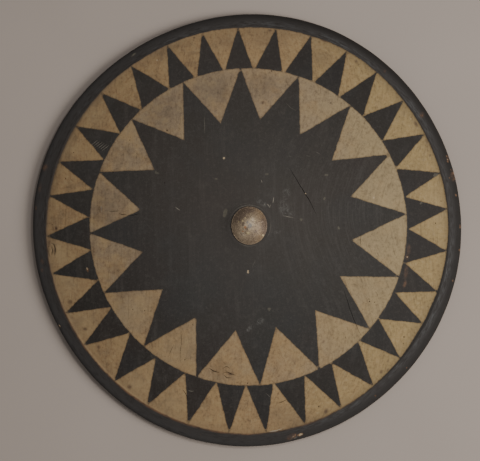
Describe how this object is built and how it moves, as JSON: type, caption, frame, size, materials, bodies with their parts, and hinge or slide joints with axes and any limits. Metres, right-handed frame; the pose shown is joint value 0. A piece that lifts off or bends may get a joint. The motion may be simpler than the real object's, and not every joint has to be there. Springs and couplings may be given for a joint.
{
  "type": "round shield",
  "caption": "Round domed wooden shield with a rounded rim, a small metal boss and a hand grip in the hollow back, painted with a black star in rings of tan triangles.",
  "frame": {"origin": "under the middle of the outline, on the plane that the rim's flat underside lies on", "axes": "+Z out of the painted face, towards the boss, +Y to the top of the painted design and along the wood's grain, +X to the right of the design seen from the front"},
  "size_m": [0.6388, 0.6456, 0.0768],
  "materials": {
    "painted_wood": "black and tan paint, matte to satin, worn, with fine splits",
    "boss_metal": "tarnished, mottled and lightly pitted, satin",
    "grip_wood": "bare wood, hand-polished"
  },
  "bodies": {
    "root": {"board": "painted_wood", "boss": "boss_metal", "grip": "grip_wood"}
  },
  "joints": []
}
